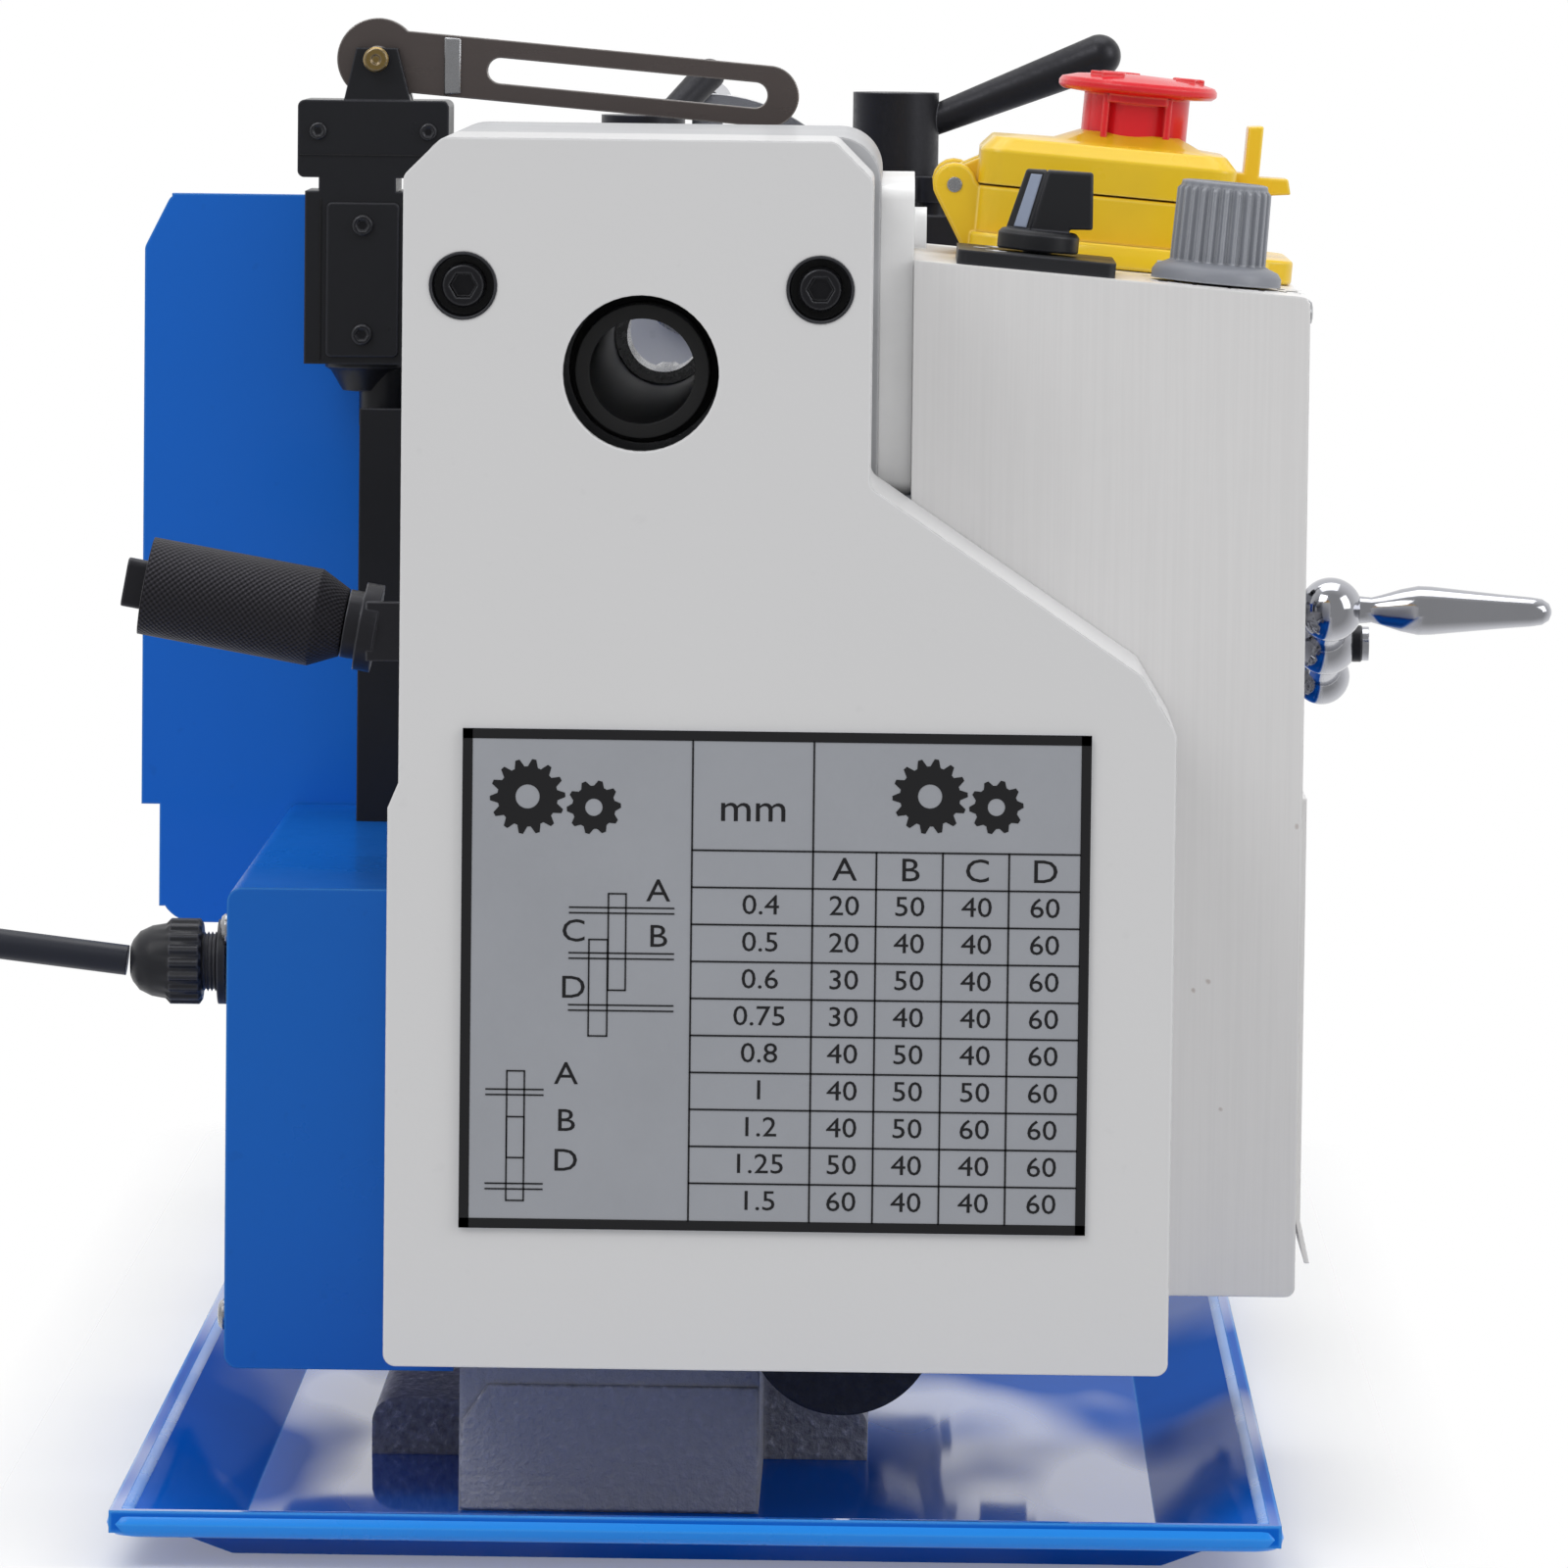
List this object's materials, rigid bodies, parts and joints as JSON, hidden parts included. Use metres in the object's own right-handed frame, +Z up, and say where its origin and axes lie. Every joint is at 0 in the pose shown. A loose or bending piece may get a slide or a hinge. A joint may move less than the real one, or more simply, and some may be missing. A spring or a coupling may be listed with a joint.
{
  "type": "mini metal lathe",
  "caption": "Small bench metal lathe with geared end cover, three-jaw chuck, sliding carriage, compound tool slide, tailstock, chip tray and control box.",
  "frame": {"origin": "centre of the four bench bolt holes, on the underside of the chip tray", "axes": "+X along the spindle axis from the headstock to the tailstock, +Y to the rear of the machine, +Z up"},
  "size_m": [0.72, 0.5512, 0.306],
  "materials": {
    "blue_paint": "satin",
    "light_paint": "satin",
    "bed_iron": "painted casting",
    "steel": "machined",
    "black_steel": "blackened",
    "stainless": "brushed",
    "chrome": "polished",
    "iron": "ground",
    "black_plastic": "matte",
    "grey_plastic": "matte",
    "yellow_plastic": "gloss",
    "red_plastic": "gloss",
    "belt_rubber": "matte",
    "cord_rubber": "matte",
    "label": "printed"
  },
  "bodies": {
    "frame": {"chip_tray": "blue_paint", "bed": "bed_iron", "headstock": "light_paint", "leadscrew_brackets": "bed_iron", "motor": "bed_iron", "gear_banjo": "bed_iron", "drive_belt": "belt_rubber", "end_cover": "light_paint", "cover_screws": "black_steel", "gear_chart_plate": "label", "side_plate": "light_paint", "control_box": "stainless", "switch_plate": "black_plastic", "estop_base": "yellow_plastic", "rear_box": "blue_paint", "cable_gland": "black_plastic", "power_cord": "cord_rubber", "cord_coil": "cord_rubber", "mains_plug": "cord_rubber", "splash_guard": "blue_paint", "guard_switch": "black_plastic"},
    "spindle": {"spindle": "steel", "spindle_gears": "steel", "chuck_body": "steel"},
    "chuck_scroll": {"chuck_scroll": "steel"},
    "chuck_jaw_1": {"chuck_jaw_1": "steel"},
    "chuck_jaw_2": {"chuck_jaw_2": "steel"},
    "chuck_jaw_3": {"chuck_jaw_3": "steel"},
    "motor_rotor": {"motor_rotor": "steel"},
    "tumbler_gear_1": {"tumbler_gear_1": "steel"},
    "tumbler_gear_2": {"tumbler_gear_2": "steel"},
    "stud_gears": {"stud_gears": "steel"},
    "banjo_gears": {"banjo_gears": "steel"},
    "leadscrew": {"leadscrew": "steel"},
    "tumbler_lever": {"tumbler_bracket": "steel"},
    "plunger_knob": {"plunger_knob": "black_steel"},
    "carriage": {"saddle": "bed_iron", "apron": "light_paint"},
    "rack_pinion": {"rack_pinion": "steel"},
    "apron_handwheel": {"apron_handwheel": "chrome"},
    "half_nut_upper": {"half_nut_upper": "iron"},
    "half_nut_lower": {"half_nut_lower": "iron"},
    "half_nut_lever": {"half_nut_lever": "chrome"},
    "cross_slide": {"cross_slide": "iron"},
    "cross_slide_crank": {"cross_slide_crank": "chrome"},
    "crank_handle": {"crank_handle": "chrome"},
    "compound_base": {"compound_base": "iron"},
    "compound_slide": {"compound_slide": "iron"},
    "compound_crank": {"compound_crank": "chrome"},
    "tool_post": {"tool_post": "black_steel"},
    "tool_post_lever": {"tool_post_lever": "chrome"},
    "tailstock": {"tailstock_body": "light_paint"},
    "tailstock_quill": {"tailstock_quill": "steel"},
    "tailstock_handwheel": {"tailstock_handwheel": "chrome"},
    "quill_lock_lever": {"quill_lock_lever": "chrome"},
    "guard_arm": {"guard_arm": "steel"},
    "estop_lid": {"estop_lid": "yellow_plastic"},
    "estop_button": {"estop_button": "red_plastic"},
    "direction_knob": {"direction_knob": "black_plastic"},
    "speed_knob": {"speed_knob": "grey_plastic"}
  },
  "joints": [
    {"name": "spindle_spin", "type": "hinge", "parent": "frame", "child": "spindle", "pos_m": [-0.285, 0, 0.2385], "axis": [1, 0, 0], "continuous": true},
    {"name": "motor_spin", "type": "hinge", "parent": "frame", "child": "motor_rotor", "pos_m": [-0.285, 0.024, 0.08009], "axis": [1, 0, 0], "continuous": true},
    {"name": "tumbler_gear_1_spin", "type": "hinge", "parent": "frame", "child": "tumbler_gear_1", "pos_m": [-0.3105, -0.0096, 0.20745], "axis": [1, 0, 0], "continuous": true},
    {"name": "tumbler_gear_2_spin", "type": "hinge", "parent": "frame", "child": "tumbler_gear_2", "pos_m": [-0.3105, 0.0153, 0.20527], "axis": [1, 0, 0], "continuous": true},
    {"name": "stud_gears_spin", "type": "hinge", "parent": "frame", "child": "stud_gears", "pos_m": [-0.3105, -0.027, 0.18], "axis": [1, 0, 0], "continuous": true},
    {"name": "banjo_gears_spin", "type": "hinge", "parent": "frame", "child": "banjo_gears", "pos_m": [-0.3195, -0.04857, 0.13489], "axis": [1, 0, 0], "continuous": true},
    {"name": "leadscrew_spin", "type": "hinge", "parent": "frame", "child": "leadscrew", "pos_m": [-0.3285, -0.052, 0.08], "axis": [1, 0, 0], "continuous": true},
    {"name": "chuck_scroll_spin", "type": "hinge", "parent": "spindle", "child": "chuck_scroll", "pos_m": [-0.1373, 0, 0.2385], "axis": [1, 0, 0], "range_deg": [-540, 576]},
    {"name": "chuck_jaw_1_slide", "type": "slide", "parent": "spindle", "child": "chuck_jaw_1", "axis": [0, 0, 1], "range_m": [-0.0076, 0.0081]},
    {"name": "chuck_jaw_2_slide", "type": "slide", "parent": "spindle", "child": "chuck_jaw_2", "axis": [0, -0.866, -0.5], "range_m": [-0.0076, 0.0081]},
    {"name": "chuck_jaw_3_slide", "type": "slide", "parent": "spindle", "child": "chuck_jaw_3", "axis": [0, 0.866, -0.5], "range_m": [-0.0076, 0.0081]},
    {"name": "carriage_travel", "type": "slide", "parent": "frame", "child": "carriage", "axis": [1, 0, 0], "range_m": [-0.05, 0.04]},
    {"name": "rack_pinion_spin", "type": "hinge", "parent": "carriage", "child": "rack_pinion", "pos_m": [0.015, -0.072, 0.1195], "axis": [0, 1, 0], "range_deg": [-500, 500]},
    {"name": "apron_handwheel_spin", "type": "hinge", "parent": "carriage", "child": "apron_handwheel", "pos_m": [-0.00562, -0.072, 0.1045], "axis": [0, 1, 0], "range_deg": [-1200, 1200]},
    {"name": "half_nut_lever_turn", "type": "hinge", "parent": "carriage", "child": "half_nut_lever", "pos_m": [0.044, -0.085, 0.08], "axis": [0, 1, 0], "range_deg": [0, 40]},
    {"name": "half_nut_upper_close", "type": "slide", "parent": "carriage", "child": "half_nut_upper", "axis": [0, 0, -1], "range_m": [0, 0.00405]},
    {"name": "half_nut_lower_close", "type": "slide", "parent": "carriage", "child": "half_nut_lower", "axis": [0, 0, 1], "range_m": [0, 0.00405]},
    {"name": "cross_slide_travel", "type": "slide", "parent": "carriage", "child": "cross_slide", "axis": [0, 1, 0], "range_m": [-0.028, 0.037]},
    {"name": "cross_slide_crank_spin", "type": "hinge", "parent": "carriage", "child": "cross_slide_crank", "pos_m": [0.007, -0.118, 0.162], "axis": [0, 1, 0], "range_deg": [-10200, 13400]},
    {"name": "crank_handle_spin", "type": "hinge", "parent": "cross_slide_crank", "child": "crank_handle", "pos_m": [-0.01509, -0.1514, 0.17138], "axis": [0, 1, 0], "continuous": true},
    {"name": "compound_swivel", "type": "hinge", "parent": "cross_slide", "child": "compound_base", "pos_m": [0.02, -0.0495, 0.18474], "axis": [0, 0, 1], "range_deg": [-45, 45]},
    {"name": "compound_travel", "type": "slide", "parent": "compound_base", "child": "compound_slide", "axis": [1, 0, 0], "range_m": [-0.03, 0.02]},
    {"name": "compound_crank_spin", "type": "hinge", "parent": "compound_base", "child": "compound_crank", "pos_m": [0.084, -0.0495, 0.20374], "axis": [1, 0, 0], "range_deg": [-10900, 7300]},
    {"name": "tool_post_index", "type": "hinge", "parent": "compound_slide", "child": "tool_post", "pos_m": [0.012, -0.0495, 0.22298], "axis": [0, 0, 1], "continuous": true},
    {"name": "tool_post_lever_turn", "type": "hinge", "parent": "compound_slide", "child": "tool_post_lever", "pos_m": [0.012, -0.0495, 0.26098], "axis": [0, 0, 1], "range_deg": [-60, 120]},
    {"name": "tailstock_travel", "type": "slide", "parent": "frame", "child": "tailstock", "axis": [1, 0, 0], "range_m": [-0.11, 0.012]},
    {"name": "quill_travel", "type": "slide", "parent": "tailstock", "child": "tailstock_quill", "axis": [-1, 0, 0], "range_m": [-0.025, 0.02]},
    {"name": "tailstock_handwheel_spin", "type": "hinge", "parent": "tailstock", "child": "tailstock_handwheel", "pos_m": [0.273, 0, 0.2385], "axis": [-1, 0, 0], "range_deg": [-6100, 4900]},
    {"name": "quill_lock_turn", "type": "hinge", "parent": "tailstock", "child": "quill_lock_lever", "pos_m": [0.191, 0.014, 0.2645], "axis": [0, 0, 1], "range_deg": [-40, 40]},
    {"name": "tumbler_swing", "type": "hinge", "parent": "frame", "child": "tumbler_lever", "pos_m": [-0.3025, -0.027, 0.18], "axis": [1, 0, 0], "range_deg": [-10, 10]},
    {"name": "plunger_pull", "type": "slide", "parent": "tumbler_lever", "child": "plunger_knob", "axis": [0, 0.9848, 0.1736], "range_m": [0, 0.005], "stiffness_N_per_m": 400},
    {"name": "guard_arm_swing", "type": "hinge", "parent": "frame", "child": "guard_arm", "pos_m": [-0.116, 0.0645, 0.297], "axis": [-1, 0, 0], "range_deg": [0, 95]},
    {"name": "estop_lid_open", "type": "hinge", "parent": "frame", "child": "estop_lid", "pos_m": [-0.1997, -0.06226, 0.27356], "axis": [-1, 0, 0], "range_deg": [0, 95]},
    {"name": "estop_press", "type": "slide", "parent": "estop_lid", "child": "estop_button", "axis": [0, 0.0819, -0.9966], "range_m": [0, 0.004], "stiffness_N_per_m": 1200},
    {"name": "direction_turn", "type": "hinge", "parent": "frame", "child": "direction_knob", "pos_m": [-0.2617, -0.07902, 0.25764], "axis": [0, -0.0819, 0.9966], "range_deg": [-45, 45]},
    {"name": "speed_turn", "type": "hinge", "parent": "frame", "child": "speed_knob", "pos_m": [-0.2617, -0.11609, 0.25459], "axis": [0, 0.0819, -0.9966], "range_deg": [0, 270]}
  ],
  "couplings": [
    {"joint": "motor_spin", "follows": "spindle_spin", "ratio": 2.875},
    {"joint": "tumbler_gear_1_spin", "follows": "spindle_spin", "ratio": -1.6},
    {"joint": "tumbler_gear_2_spin", "follows": "spindle_spin", "ratio": 1.6},
    {"joint": "stud_gears_spin", "follows": "spindle_spin", "ratio": 1},
    {"joint": "banjo_gears_spin", "follows": "spindle_spin", "ratio": -0.66667},
    {"joint": "leadscrew_spin", "follows": "spindle_spin", "ratio": 0.55556},
    {"joint": "chuck_jaw_1_slide", "follows": "chuck_scroll_spin", "m_per_rad": 0.0007958},
    {"joint": "chuck_jaw_2_slide", "follows": "chuck_scroll_spin", "m_per_rad": 0.0007958},
    {"joint": "chuck_jaw_3_slide", "follows": "chuck_scroll_spin", "m_per_rad": 0.0007958},
    {"joint": "rack_pinion_spin", "follows": "carriage_travel", "rad_per_m": -166.67},
    {"joint": "apron_handwheel_spin", "follows": "carriage_travel", "rad_per_m": 400},
    {"joint": "half_nut_upper_close", "follows": "half_nut_lever_turn", "m_per_rad": 0.0057296},
    {"joint": "half_nut_lower_close", "follows": "half_nut_lever_turn", "m_per_rad": 0.0057296},
    {"joint": "cross_slide_crank_spin", "follows": "cross_slide_travel", "rad_per_m": 6283.2},
    {"joint": "compound_crank_spin", "follows": "compound_travel", "rad_per_m": 6283.2},
    {"joint": "tailstock_handwheel_spin", "follows": "quill_travel", "rad_per_m": 4188.8}
  ]
}
